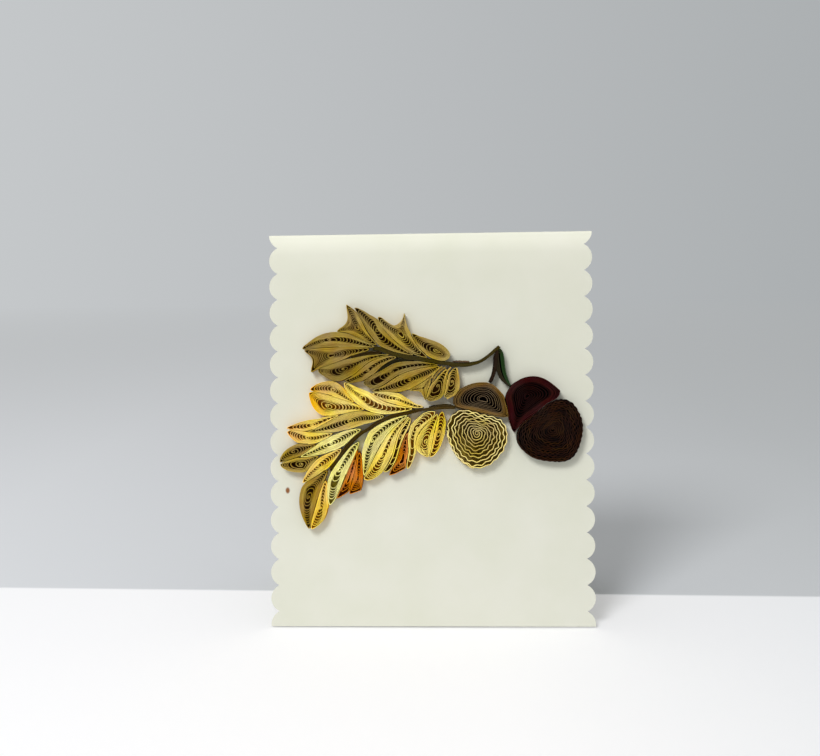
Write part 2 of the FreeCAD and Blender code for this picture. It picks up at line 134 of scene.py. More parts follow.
def split_at_corners(loop):
    """The loop's sides, each from one sharp corner to the next."""
    if signed_area(loop) < 0:
        loop = loop[::-1]
    ahead, behind = np.roll(loop, -1, 0) - loop, loop - np.roll(loop, 1, 0)
    turn = np.degrees(np.arctan2(
        behind[:, 0] * ahead[:, 1] - behind[:, 1] * ahead[:, 0], (behind * ahead).sum(1)))
    corners = list(np.nonzero(abs(turn) > SHARP)[0])
    ends = corners[1:] + [corners[0] + len(loop)]
    return [np.take(loop, range(start, end + 1), axis=0, mode="wrap")
            for start, end in zip(corners, ends)]


# ---------------------------------------------------------------- curves
def densify(line, step):
    """Smooth curve through a side's points, from its first to its last."""
    ends = np.vstack([2 * line[0] - line[1], line, 2 * line[-1] - line[-2]])
    out = []
    for a, b, c, d in zip(ends, ends[1:], ends[2:], ends[3:]):
        n = max(1, math.ceil(np.linalg.norm(c - b) / step))
        t = (np.arange(n) / n)[:, None]
        out.append(0.5 * (2 * b + (c - a) * t + (2 * a - 5 * b + 4 * c - d) * t**2
                          + (3 * b - a - 3 * c + d) * t**3))
    return np.vstack(out + [line[-1:]])


def lengths_along(line):
    return np.concatenate([[0], np.cumsum(np.linalg.norm(np.diff(line, axis=0), axis=1))])


def spread(line, count, ease=0.0):
    """count points along the line, closer together towards its ends."""
    at = lengths_along(line)
    x = np.linspace(0, 1, count)
    x = x - ease * np.sin(2 * np.pi * x) / (2 * np.pi)
    return np.stack([np.interp(x * at[-1], at, line[:, k]) for k in (0, 1)], 1)


def smooth_loop(loop):
    for _ in range(2):
        loop = 0.5 * loop + 0.25 * (np.roll(loop, 1, 0) + np.roll(loop, -1, 0))
    return loop


def distance(points, line):
    start, along = line[:-1], np.diff(line, axis=0)
    squared = (along**2).sum(1)
    out = np.empty(len(points))
    for i in range(0, len(points), 4000):
        q = points[i:i + 4000, None] - start
        t = np.clip((q * along).sum(2) / squared, 0, 1)
        q -= t[..., None] * along
        out[i:i + 4000] = np.sqrt((q**2).sum(2).min(1))
    return out


def is_inside(points, loop):
    a, b = loop, np.roll(loop, -1, 0)
    rise = np.where(b[:, 1] == a[:, 1], 1e-12, b[:, 1] - a[:, 1])
    out = np.empty(len(points), bool)
    for i in range(0, len(points), 4000):
        p = points[i:i + 4000, None]
        spans = (a[:, 1] > p[..., 1]) != (b[:, 1] > p[..., 1])
        x = a[:, 0] + (p[..., 1] - a[:, 1]) * (b[:, 0] - a[:, 0]) / rise
        out[i:i + 4000] = (spans & (p[..., 0] < x)).sum(1) % 2 == 1
    return out


# Marching squares: a cell's corners add 1, 2, 4 and 8, and its edges are 0 bottom, 1 right, 2 top and 3 left.
CELL_LINES = {1: [(3, 0)], 2: [(0, 1)], 3: [(3, 1)], 4: [(1, 2)], 5: [(3, 0), (1, 2)], 6: [(0, 2)],
              7: [(3, 2)], 8: [(2, 3)], 9: [(2, 0)], 10: [(0, 1), (2, 3)], 11: [(2, 1)], 12: [(1, 3)],
              13: [(1, 0)], 14: [(0, 3)]}


def contours(field, level):
    """Closed lines, in grid steps, around where the field is over the level."""
    over = field > level
    code = over[:-1, :-1] * 1 + over[1:, :-1] * 2 + over[1:, 1:] * 4 + over[:-1, 1:] * 8
    follows, place = {}, {}
    for i, j in np.argwhere((code > 0) & (code < 15)):
        edges = ((i, j, 0), (i + 1, j, 1), (i, j + 1, 0), (i, j, 1))
        for start, end in CELL_LINES[int(code[i, j])]:
            follows[edges[start]] = edges[end]
            for key in (edges[start], edges[end]):
                if key not in place:
                    x, y, upright = key
                    here = field[x, y]
                    there = field[x, y + 1] if upright else field[x + 1, y]
                    t = (level - here) / (there - here)
                    place[key] = (x, y + t) if upright else (x + t, y)
    loops = []
    while follows:
        key, loop = next(iter(follows)), []
        while key in follows:
            loop.append(place[key])
            key = follows.pop(key)
        loops.append(np.array(loop))
    return loops


# ---------------------------------------------------------------- a pinched roll
def depth_field(sides, eye):
    """Distance in from the outline on a grid, scaled so that as many turns lie on one side of the eye as on
    the other."""
    loop = np.vstack([side[:-1] for side in sides])
    start = loop.min(0) - 3 * GRID
    shape = np.ceil((loop.max(0) + 3 * GRID - start) / GRID).astype(int) + 1
    axes = [start[k] + GRID * np.arange(shape[k]) for k in (0, 1)]
    grid = np.stack(np.meshgrid(*axes, indexing="ij"), -1).reshape(-1, 2)
    within = is_inside(grid, loop)
    wide = within.reshape(shape)
    for axis in (0, 1):
        wide = wide | np.roll(wide, 1, axis) | np.roll(wide, -1, axis)
    wide = wide.ravel()
    away = np.array([distance(grid[wide], side) for side in sides])
    at_eye = np.array([distance(eye[None], side)[0] for side in sides])
    order = np.argsort(at_eye)
    scale = np.clip(at_eye / at_eye[order[:2]].mean(), 0.87, 1.15)
    scale[order[2:]] = 1
    nearest = np.full(len(grid), -1.0)
    nearest[wide] = np.where(within[wide], 1, -1) * (away / scale[:, None]).min(0)
    return start, shape, grid, nearest


def read_field(field, start, points):
    """The field between its grid points."""
    at = (points - start) / GRID
    i = np.clip(at.astype(int), 0, np.array(field.shape) - 2)
    t = at - i
    f = [field[i[:, 0] + x, i[:, 1] + y] for x in (0, 1) for y in (0, 1)]
    return (f[0] * (1 - t[:, 0]) * (1 - t[:, 1]) + f[1] * (1 - t[:, 0]) * t[:, 1]
            + f[2] * t[:, 0] * (1 - t[:, 1]) + f[3] * t[:, 0] * t[:, 1])


def smooth_line(line, times):
    for _ in range(times):
        line = np.vstack([line[:1], 0.5 * line[1:-1] + 0.25 * (line[2:] + line[:-2]), line[-1:]])
    return line


def spines(tips, eye, field, start):
    """From each pinched corner, the line midway between the sides up to the eye, and the eye's place."""
    deepest = start + GRID * np.array(np.unravel_index(np.argmax(field), field.shape))
    climbs = [[tip] for tip in tips]
    for depth in np.arange(0.15, field.max() - 0.05, 0.1):
        rings = np.vstack([start + GRID * c for c in contours(field, depth)])
        for climb, tip in zip(climbs, tips):
            climb.append(rings[np.argmin(np.linalg.norm(rings - tip, axis=1))])
    if len(tips) == 2:
        whole = np.array(climbs[0] + climbs[1][::-1])
        whole = smooth_line(spread(whole, max(24, int(lengths_along(whole)[-1] / 0.3))), 6)
        at = int(np.clip(np.argmin(np.linalg.norm(whole - eye, axis=1)), 4, len(whole) - 5))
        eye = whole[at]
        return [whole[:at + 1], whole[at:][::-1]], eye
    lines = []
    for climb in climbs:
        line = np.array(climb + [deepest])
        lines.append(smooth_line(spread(line, max(12, int(lengths_along(line)[-1] / 0.3))), 4))
    return lines, deepest


def along_line(points, line):
    """Distance of each point from the line, and how far along the line its nearest place is."""
    start, along = line[:-1], np.diff(line, axis=0)
    squared = np.maximum((along**2).sum(1), 1e-12)
    at = lengths_along(line)
    q = points[:, None] - start
    t = np.clip((q * along).sum(2) / squared, 0, 1)
    gap = np.linalg.norm(q - t[..., None] * along, axis=2)
    best = gap.argmin(1)
    rows = np.arange(len(points))
    return gap[rows, best], at[best] + t[rows, best] * np.sqrt(squared)[best]


def turn_depths(reach, turns, eye_width, tight):
    """How deep each turn lies: packed tight outside and looser towards the eye."""
    first = PAPER / 2
    eye_width = min(eye_width, reach * 0.2)
    room = reach - eye_width - first
    tight = min(tight, room / 7)
    turns = int(max(3, min(turns, room / tight + 1)))
    u = np.arange(turns) / (turns - 1)
    share = min(1.0, tight * (turns - 1) / room)
    depths = first + room * (share * u + (1 - share) * u**LOOSENING)
    uneven_gaps = np.diff(depths) * (1 + 0.10 * rng.standard_normal(turns - 1))
    uneven_gaps = np.maximum(uneven_gaps, tight - 0.002)
    return first + np.concatenate([[0], np.cumsum(uneven_gaps) * room / uneven_gaps.sum()])


def rolled(sides, eye, half_eye, sheet, settled=False):
    """A strip rolled from the outline in to the eye: an array of turns, each of the same number of points.
    Where two sides meet, each turn bends round before it reaches the last one, which leaves a small hole."""
    round_end = len(sides) == 1
    if round_end:
        side = sides[0]
        far = int(np.argmax(np.linalg.norm(side - side[0], axis=1)))
        sides = [side[:far + 1], side[far:]]
    start, shape, grid, nearest = depth_field(sides, eye)
    field = nearest.reshape(shape)
    if not settled and read_field(field, start, eye[None])[0] < 0.85 * nearest.max():
        eye = grid[nearest.argmax()]
    tips = [side[0] for side in sides][:1 if round_end else None]
    lines, eye = spines(tips, eye, field, start)
    reach = read_field(field, start, eye[None])[0]
    spans = [lengths_along(line)[-1] for line in lines]
    turns = round(np.mean(spans) / BEAD_PITCH) + 1
    depths = turn_depths(reach, turns, max(half_eye, 0.22), sheet + 0.01)
    turns = len(depths)
    near = [along_line(grid, line) for line in lines]
    owner = np.argmin([gap for gap, _ in near], 0)
    holes = []
    for line, span in zip(lines, spans):
        at = lengths_along(line)
        widths = np.maximum.accumulate(read_field(field, start, line))
        wanted = 0.25 + (span - 0.3) * (np.arange(turns) / (turns - 1))**0.88
        wanted += np.where(np.arange(turns) % (turns - 1) > 0, rng.normal(0, 0.05, turns), 0)
        soonest = np.interp(depths + np.minimum(0.12 + 0.08 * np.arange(turns), 0.42), widths, at)
        latest = np.interp(depths + WIDEST, widths, at)
        place = np.maximum.accumulate(np.clip(wanted, soonest, np.maximum(latest, soonest)))
        place = np.minimum(place, span)
        holes.append((line, at, place))
    rows = []
    share = np.array([lengths_along(side)[-1] for side in sides])
    counts = np.maximum(18, ROLL_POINTS * share / share.sum()).astype(int)
    for k, depth in enumerate(depths):
        value = nearest - depth
        ends = []
        for i, (line, at, place) in enumerate(holes):
            centre = np.array([np.interp(place[k], at, line[:, 0]), np.interp(place[k], at, line[:, 1])])
            radius = max(read_field(field, start, centre[None])[0] - depth, 0.06)
            beyond = (owner == i) & (near[i][1] < place[k])
            if k:
                rounded = radius - np.linalg.norm(grid[beyond] - centre, axis=1)
                value[beyond] = np.minimum(value[beyond], rounded)
            tip = max(place[k] - radius, 0)
            ends.append(np.array([np.interp(tip, at, line[:, 0]), np.interp(tip, at, line[:, 1])]))
        found = [start + GRID * c for c in contours(value.reshape(shape), 0) if len(c) > 12]
        if not found:
            break
        around = [c for c in found if is_inside(eye[None], c)[0]]
        loop = smooth_loop(min(around or found, key=lambda c: np.linalg.norm(c.mean(0) - eye)))
        if signed_area(loop) < 0:
            loop = loop[::-1]
        if round_end:
            ends.append(loop[np.argmax(np.linalg.norm(loop - ends[0], axis=1))])
        cuts = [int(np.argmin(np.linalg.norm(loop - end, axis=1))) for end in ends]
        loop = np.roll(loop, -cuts[0], 0)
        cuts = [(cut - cuts[0]) % len(loop) for cut in cuts] + [len(loop)]
        loop = np.vstack([loop, loop[:1]])
        if min(np.diff(cuts)) < 2:
            cuts = [0] + [int(len(loop) * s) for s in np.cumsum(share / share.sum())[:-1]] + [len(loop) - 1]
            if min(np.diff(cuts)) < 2:
                break
        rows.append(np.vstack([spread(loop[a:b + 1], n + 1, 0.7)[:-1]
                               for a, b, n in zip(cuts, cuts[1:], counts)]))
    return wind(np.roll(rows, -(counts[0] // 2), 1))


def coiled(outline, eye, pitches, least=0.5, softening=1.5):
    """A strip coiled about an off-centre eye: every turn keeps the outline's shape but shrinks towards the
    eye, so the turns crowd on the near side and open out on the far side and in the corners."""
    angles = np.linspace(0, 2 * math.pi, AROUND + 1)[:-1]
    loop = densify(np.vstack([outline, outline[:1]]), 0.15) - eye
    seen = np.arctan2(loop[:, 1], loop[:, 0]) % (2 * math.pi)
    order = np.argsort(seen)
    radius = np.interp(angles, seen[order], np.linalg.norm(loop[order], axis=1), period=2 * math.pi)
    near = radius.min()
    rows, size = [], 1 - PAPER / 2 / near
    for k, pitch in enumerate(pitches):
        away = np.minimum(np.arange(AROUND), AROUND - np.arange(AROUND))
        kernel = np.exp(-0.5 * (away / max(softening * k, 0.3))**2)
        soft = np.real(np.fft.ifft(np.fft.fft(radius) * np.fft.fft(kernel / kernel.sum())))
        reach = soft * size * (1 + 0.015 * np.sin(angles * 2 + rng.uniform(0, 6)))
        ring = eye + np.stack([np.cos(angles), np.sin(angles)], 1) * reach[:, None]
        rows.append(spread(np.vstack([ring, ring[:1]]), COIL_POINTS + 1)[:-1])
        size -= pitch * (1 + 0.12 * rng.standard_normal()) / near
        if size * near < least * 0.5:
            break
    return wind(np.array(rows))


def wind(rows):
    """One spiral through nested loops.  The first turn stays on the outside and steps in at its end."""
    x = np.arange(rows.shape[1]) / rows.shape[1]
    column = np.arange(rows.shape[1])
    turns = []
    for k in range(len(rows)):
        level = np.clip(k + x, 0, len(rows) - 1) if k else np.clip((x - 0.88) / 0.12, 0, 1)
        lower = np.minimum(level.astype(int), len(rows) - 2)
        t = (level - lower)[:, None]
        turns.append(rows[lower, column] * (1 - t) + rows[lower + 1, column] * t)
    return np.array(turns)


def pressed(sides, others, gap=ROLL_GAP):
    """Sides swollen outwards until they nearly meet what lies beside them, as soft rolls do when glued."""
    swollen = []
    for side in sides:
        tangent = np.gradient(side, axis=0)
        tangent /= np.linalg.norm(tangent, axis=1)[:, None]
        outward = np.stack([tangent[:, 1], -tangent[:, 0]], 1)
        room = np.min([distance(side, other) for other in others], 0)
        grow = np.clip(room / 2 - gap, 0, SWELLING) * np.clip((1.6 - room) / 0.6, 0.15, 1)
        at = lengths_along(side)
        grow = np.convolve(np.pad(grow, 3, mode="edge"), np.ones(7) / 7, "valid")
        grow *= np.clip(np.minimum(at, at[-1] - at) / 1.2, 0, 1)
        swollen.append(side + outward * grow[:, None])
    return swollen


# ---------------------------------------------------------------- strips to meshes
def make_strips(name, lines, material, nodes, thickness=PAPER, bases=()):
    """One mesh of paper strips on edge.  Each line is (points, top heights, tone, depth 0 to 1).
    The bases are outlines of the film of glue and paper fibre that holds them to the card; its dark colour is
    painted shade, which shows between the turns and between the pieces."""
    lines = [(VIEW_FOOT + (points - VIEW_FOOT) * SETTLE, *rest) for points, *rest in lines]
    verts, faces, tones, depths, rises = [], [], [], [], []
    count = 0
    for points, top, tone, depth in lines:
        n = len(points)
        tangent = np.gradient(points, axis=0)
        tangent /= np.maximum(np.linalg.norm(tangent, axis=1), 1e-9)[:, None]
        normal = np.stack([-tangent[:, 1], tangent[:, 0]], 1) * thickness / 2
        left, right = points + normal, points - normal
        bottom, top = np.zeros(n), np.broadcast_to(top, n)
        section = [to_world(p[:, 0], p[:, 1], h) for p, h in
                   ((left, bottom), (left, top), (right, top), (right, bottom))]
        verts.append(np.stack(section, 1).reshape(-1, 3))
        rises += [0, 1, 1, 0] * n
        tones.append(np.repeat(np.broadcast_to(tone, n), 4))
        depths.append(np.repeat(np.broadcast_to(depth, n), 4))
        first = count + 4 * np.arange(n - 1)[:, None]
        for k in range(4):
            after = (k + 1) % 4
            faces.append(np.hstack([first + k, first + 4 + k, first + 4 + after, first + after]))
        faces.append(np.array([[count, count + 1, count + 2, count + 3],
                               [count + 4 * n - 1, count + 4 * n - 2, count + 4 * n - 3, count + 4 * n - 4]]))
        count += 4 * n
    starts = 4 * np.arange(sum(len(f) for f in faces))
    corners = np.vstack(faces).ravel()
    # Each base is a film at the strips' foot, coloured in the darkest painted shade of its paper.
    for base in bases:
        film = VIEW_FOOT + (base - VIEW_FOOT) * SETTLE
        verts.append(to_world(film[:, 0], film[:, 1], np.full(len(film), FILM)))
        rises += [0] * len(film)
        tones.append(np.zeros(len(film)))
        depths.append(np.ones(len(film)))
        starts = np.append(starts, len(corners))
        corners = np.append(corners, count + np.arange(len(film)))
        count += len(film)
    verts = np.vstack(verts)
    mesh = bpy.data.meshes.new(name)
    mesh.vertices.add(len(verts))
    mesh.vertices.foreach_set("co", verts.ravel())
    mesh.loops.add(len(corners))
    mesh.loops.foreach_set("vertex_index", corners)
    mesh.polygons.add(len(starts))
    mesh.polygons.foreach_set("loop_start", starts)
    mesh.update(calc_edges=True)
    # Each piece's colour factor, which carries painted light and shade as well as its own colour, goes on
    # every point.
    dye_and_light = np.tile(np.array(DYES_AND_PAINTED_LIGHT.get(nodes[0], (1, 1, 1)), float), (len(verts), 1))
    if nodes[0] in WARM_TIPS:
        left_end = (verts[:, 0] - verts[:, 0].min()) / MM
        warm = np.clip((WARM_END - left_end) / WARM_FADE, 0, 1)[:, None]
        dye_and_light *= 1 + warm * (WARM_TINT - 1)
    colours = np.hstack([dye_and_light, np.ones((len(verts), 1))])
    dye_and_light_colours = mesh.attributes.new("dye_and_light", "FLOAT_COLOR", "POINT")
    dye_and_light_colours.data.foreach_set("color", colours.ravel().astype(np.float32))
    for attribute, values in (("tone", np.concatenate(tones)), ("depth", np.concatenate(depths)),
                              ("rise", np.array(rises, float))):
        mesh.attributes.new(attribute, "FLOAT", "POINT").data.foreach_set("value", values.astype(np.float32))
    mesh.materials.append(material)
    piece = bpy.data.objects.new(name, mesh)
    bpy.context.scene.collection.objects.link(piece)
    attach(piece, "root")
    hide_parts(*nodes)


def uneven(count, amount, wave=40):
    """Slow random ups and downs along a strip."""
    knots = rng.normal(0, amount, max(3, count // wave + 2))
    return np.interp(np.linspace(0, len(knots) - 1, count), np.arange(len(knots)), knots)


def strip_lines(turns):
    """Turns of one long strip, with the small unevenness of handwork in height and tone.  The outermost
    turns, which catch the light, get a painted highlight, the ones within them, which lie in their shade, get
    painted shade, and the rest come in paler and darker bands."""
    line = turns.reshape(-1, 2)
    each = turns.shape[1]
    depth = np.arange(len(line)) / len(line)
    bands = np.linspace(0, len(turns), len(turns) // 3 + 2)
    shade = np.interp(np.arange(len(turns)), bands, rng.normal(0, 1.3, len(bands)))
    shade = shade + rng.normal(0, 0.8, len(turns))
    # Painted highlight on the two outermost turns and painted shade on the two within them.
    shade[:4] = (2.2, 1.2, -1.6, -0.8)[:len(shade)]
    tone = np.convolve(np.pad(np.repeat(shade, each), 6, mode="edge"), np.ones(13) / 13, "valid")
    top = STRIP - 0.06 + uneven(len(line), 0.035) + np.repeat(rng.normal(0, 0.02, len(turns)), each)
    top = np.minimum(top, STRIP)
    keep = np.concatenate([[True], np.linalg.norm(np.diff(line, axis=0), axis=1) > 0.01])
    return [(line[keep], top[keep], tone[keep], depth[keep])]


def abreast(points, count, pitch, tones):
    """Strips glued side by side along a line."""
    line = densify(np.array(points), 0.3)
    tangent = np.gradient(line, axis=0)
    tangent /= np.linalg.norm(tangent, axis=1)[:, None]
    across = np.stack([-tangent[:, 1], tangent[:, 0]], 1)
    return [(line + across * (k - (count - 1) / 2) * pitch, STRIP - 0.15 - 0.15 * rng.random(),
             rng.normal(tones, 1), 0.05) for k in range(count)]


# ---------------------------------------------------------------- node materials
def new_material(name, roughness, specular=0.25):
    material = bpy.data.materials.new(name)
    material.use_nodes = True
    shader = material.node_tree.nodes["Principled BSDF"]
    shader.inputs["Roughness"].default_value = roughness
    shader.inputs["Specular IOR Level"].default_value = specular
    return material, material.node_tree, shader


def feed(tree, socket, value):
    """Set a socket to a constant, or link it to another node's output."""
    if isinstance(value, bpy.types.NodeSocket):
        tree.links.new(value, socket)
    else:
        socket.default_value = value


def add(tree, kind, **settings):
    """A new node, with its inputs fed and its properties set by name."""
    node = tree.nodes.new(kind)
    for key, value in settings.items():
        if key in node.inputs:
            feed(tree, node.inputs[key], value)
        else:
            setattr(node, key, value)
    return node


def calculate(tree, operation, *terms, kind="ShaderNodeMath", output=0, **settings):
    """The result of a maths node, whose terms are constants or other nodes' outputs."""
    node = add(tree, kind, operation=operation, **settings)
    for socket, term in zip(node.inputs, terms):
        feed(tree, socket, term)
    return node.outputs[output]


def measure(tree, operation, *terms, output="Vector"):
    return calculate(tree, operation, *terms, kind="ShaderNodeVectorMath", output=output)


def between(tree, value, start, end):
    """0 up to where the value is at the start and 1 from where it is at the end."""
    node = add(tree, "ShaderNodeMapRange", Value=value)
    node.inputs["From Min"].default_value = start
    node.inputs["From Max"].default_value = end
    return node.outputs["Result"]


def mix(tree, factor, a, b, blend="MIX"):
    node = add(tree, "ShaderNodeMix", data_type="RGBA", blend_type=blend, Factor=factor, A=a, B=b)
    return node.outputs["Result"]


def noise(tree, place, **settings):
    return add(tree, "ShaderNodeTexNoise", Vector=place, **settings).outputs["Fac"]


def roughen(tree, shader, height, strength, depth):
    bump = add(tree, "ShaderNodeBump", Strength=strength, Distance=depth, Height=height)
    feed(tree, shader.inputs["Normal"], bump.outputs["Normal"])


def srgb(r, g, b):
    """Linear colour of an sRGB one in 0 to 255."""
    return tuple(((c / 255 / 12.92) if c <= 10 else ((c / 255 + 0.055) / 1.055)**2.4)
                 for c in (r, g, b)) + (1,)


def ramp(tree, value, stops):
    node = add(tree, "ShaderNodeValToRGB", Fac=value)
    elements = node.color_ramp.elements
    while len(elements) < len(stops):
        elements.new(1)
    for element, (at, colour) in zip(elements, stops):
        element.position = at
        element.color = colour
    return node.outputs["Color"]


def paper_material(name, outer, inner, edge, inner_edge=None, openness=0.05):
    """Dyed quilling paper.  The faces of a strip run from the outer colour to the inner one and darken
    towards the card in painted shade, where little light gets in; the cut edge, which faces the viewer, is
    given a paler colour as a painted highlight.  Each turn has a tone of its own and fibres fleck it."""
    material, tree, shader = new_material(name, 0.82, 0.12)
    depth, tone, rise, dye_and_light = (add(tree, "ShaderNodeAttribute", attribute_name=what).outputs
                              for what in ("depth", "tone", "rise", "dye_and_light"))
    depth, tone, rise = depth["Fac"], tone["Fac"], rise["Fac"]
    place = add(tree, "ShaderNodeTexCoord").outputs["Object"]
    fibres = noise(tree, place, Scale=2600.0, Detail=4.0, Roughness=0.7)
    blotch = noise(tree, place, Scale=260.0, Detail=2.0)
    fading = noise(tree, place, Scale=150.0, Detail=1.0)
    body = ramp(tree, depth, [(0.0, outer), (0.3, outer), (0.8, inner), (1.0, inner)])
    # Painted shade: the faces darken towards the card, except towards the outermost turn.
    shades = [(*(np.array(shade) + (1 - np.array(shade)) * openness), 1)
              for shade in ((0.24, 0.17, 0.11), (0.34, 0.28, 0.22), (0.75, 0.72, 0.7))]
    painted_shade = ramp(tree, rise, [*zip((0.0, 0.6, 0.9), shades), (1.0, (1, 1, 1, 1))])
    face = mix(tree, between(tree, depth, 0, 0.12), body, painted_shade, "MULTIPLY")
    # Painted highlight: the cut edge takes a paler colour than the faces.
    cut = ramp(tree, depth, [(0.35, edge), (0.6, inner_edge or edge)])
    paint = mix(tree, between(tree, rise, 0.965, 0.995), face, cut)
    # The piece's colour factor, its own colour with painted light and shade, multiplies the paint.
    dyed_and_lit = mix(tree, 1, paint, dye_and_light["Color"], "MULTIPLY")
    value = calculate(tree, "MULTIPLY_ADD", tone, 0.09, 0.66)
    value = calculate(tree, "MULTIPLY_ADD", fibres, 0.36, value)
    value = calculate(tree, "MULTIPLY_ADD", blotch, 0.32, value)
    hue = calculate(tree, "MULTIPLY_ADD", blotch, 0.04, calculate(tree, "MULTIPLY_ADD", tone, 0.002, 0.48))
    fullness = calculate(tree, "MULTIPLY_ADD", fading, 0.5, 0.75)
    varied = add(tree, "ShaderNodeHueSaturation", Hue=hue, Saturation=fullness, Value=value, Color=dyed_and_lit)
    feed(tree, shader.inputs["Base Color"], varied.outputs["Color"])
    roughen(tree, shader, fibres, 0.25, 0.00003)
    return material


def card_material():
    """Smooth uncoated card: faint cloudiness, fine fibres, a tooth that the light catches, and a stain.
    Up its height it carries painted light and shade: lighter at the foot, darker higher up, and a painted
    highlight along the fold.
    """
    material, tree, shader = new_material("cream_card", 0.72)
    place = add(tree, "ShaderNodeTexCoord").outputs["Object"]
    cloud = noise(tree, place, Scale=55.0, Detail=3.0)
    tooth = noise(tree, place, Scale=2400.0, Detail=6.0, Roughness=0.65)
    fibre = noise(tree, place, Scale=700.0, Detail=5.0, Roughness=0.7, Distortion=1.6)
    base = ramp(tree, cloud, [(0.3, srgb(225, 226, 210)), (0.7, srgb(230, 230, 217))])
    flecks = ramp(tree, fibre, [(0.0, srgb(222, 217, 203)), (0.36, srgb(255, 255, 255))])
    flecked = mix(tree, 0.5, base, flecks, "MULTIPLY")
    upright = add(tree, "ShaderNodeSeparateXYZ", Vector=place).outputs["Z"]
    # Painted light and shade by height: lighter at the foot, darker higher up, and a painted highlight along
    # the fold.
    painted_light_by_height = ramp(tree, calculate(tree, "MULTIPLY", upright, 1 / CARD_HEIGHT),
                   [(0.0, (1, 1, 1, 1)), (0.25, (0.985, 0.985, 0.985, 1)), (0.55, (0.93, 0.93, 0.92, 1)),
                    (0.9, (0.92, 0.92, 0.9, 1)), (0.95, (0.96, 0.96, 0.94, 1)), (0.985, (1.1, 1.1, 1.08, 1))])
    toned = mix(tree, 1, flecked, painted_light_by_height, "MULTIPLY")
    spot = to_world(STAIN[:1], STAIN[1:], [0])[0]
    from_spot = measure(tree, "SUBTRACT", place, spot)
    away = measure(tree, "LENGTH", measure(tree, "MULTIPLY", from_spot, (1.3, 0.4, 0.9)), output="Value")
    through = measure(tree, "DOT_PRODUCT", from_spot, OUT, output="Value")
    on_face = calculate(tree, "GREATER_THAN", through, -CARD / 2 * MM)
    stain = calculate(tree, "MULTIPLY", between(tree, away, 0.0011, 0.0006), on_face)
    feed(tree, shader.inputs["Base Color"], mix(tree, stain, toned, srgb(142, 92, 52)))
    roughen(tree, shader, calculate(tree, "MULTIPLY_ADD", fibre, 0.5, tooth), 0.3, 0.00004)
    return material


# ---------------------------------------------------------------- card
card = frame["nodes"]["card_blank"]
card.data.materials.clear()
card.data.materials.append(card_material())

# ---------------------------------------------------------------- rolls
# The colour factor of each piece against its paper, in linear red, green and blue.  A scratch program worked
# most of these numbers out, by fitting each piece's average colour in the render to the photograph, and the
# rest were set by eye.  They hold for this scene's camera and light, and are not measured colours of the
# papers.  Besides each piece's own colour these factors carry painted light and shade, lightening or
# darkening whole pieces.
DYES_AND_PAINTED_LIGHT = {
    "left_acorn_cup": (1.06, 0.95, 0.7), "left_acorn_nut": (1.03, 0.93, 0.79),
    "left_acorn_stalk": (0.28, 0.24, 0.2), "lower_leaf_roll_01": (0.94, 0.8, 0.51),
    "lower_leaf_roll_02": (1.01, 0.94, 0.72), "lower_leaf_roll_03": (1.01, 0.98, 0.94),
    "lower_leaf_roll_04": (0.99, 0.92, 0.74), "lower_leaf_roll_05": (1.01, 0.91, 0.73),
    "lower_leaf_roll_06": (1.01, 0.94, 0.62), "lower_leaf_roll_07": (1.79, 1.77, 1.31),
    "lower_leaf_roll_08": (1.11, 1.05, 0.77), "lower_leaf_roll_09": (1.16, 1, 0.57),
    "lower_leaf_roll_10": (1.42, 1.3, 0.76), "lower_leaf_roll_11": (1.01, 0.89, 0.65),
    "lower_leaf_roll_12": (1.07, 0.88, 0.39), "lower_leaf_roll_13": (1.01, 0.86, 0.39),
    "lower_leaf_roll_14": (1.11, 1.09, 0.88), "lower_leaf_roll_15": (1.09, 1.28, 1.01),
    "lower_leaf_roll_16": (1.03, 1.15, 0.47), "lower_leaf_roll_17": (1.11, 1.05, 0.84),
    "lower_leaf_roll_18": (1.01, 0.97, 0.79), "lower_leaf_roll_19": (2.39, 2.42, 1.27),
    "lower_leaf_roll_20": (1.08, 1.3, 0.3), "lower_leaf_roll_21": (1.01, 0.96, 0.66),
    "lower_leaf_roll_22": (1.01, 0.93, 0.52), "lower_leaf_roll_23": (1.01, 0.86, 0.41),
    "lower_leaf_stem": (0.91, 0.66, 0.3), "lower_leaf_strand": (1.12, 0.95, 0.86),
    "right_acorn_cup": (0.78, 0.86, 0.54), "right_acorn_nut": (0.34, 0.23, 0.15),
    "right_acorn_stalk": (0.86, 0.86, 0.86), "stalk_strand": (2.07, 2.07, 2.07),
    "upper_leaf_roll_01": (0.87, 0.81, 0.7), "upper_leaf_roll_02": (0.9, 0.78, 0.5),
    "upper_leaf_roll_03": (0.9, 0.78, 0.46), "upper_leaf_roll_04": (0.79, 0.71, 0.52),
    "upper_leaf_roll_05": (1.05, 0.98, 0.87), "upper_leaf_roll_06": (0.96, 0.88, 0.63),
    "upper_leaf_roll_07": (0.77, 0.7, 0.49), "upper_leaf_roll_08": (0.83, 0.74, 0.56),
    "upper_leaf_roll_09": (0.65, 0.57, 0.3), "upper_leaf_roll_10": (1.03, 0.88, 0.3),
    "upper_leaf_roll_11": (1.01, 0.9, 0.42), "upper_leaf_roll_12": (1.07, 0.96, 0.54),
    "upper_leaf_roll_13": (1.2, 1.07, 0.87), "upper_leaf_side_vein": (0.34, 0.34, 0.34),
    "upper_leaf_stem": (0.82, 0.74, 0.3), "upper_leaf_vein": (0.64, 0.45, 0.34),
}
WARM_TIPS = ("lower_leaf_roll_01", "lower_leaf_roll_02", "lower_leaf_roll_05", "lower_leaf_roll_06")

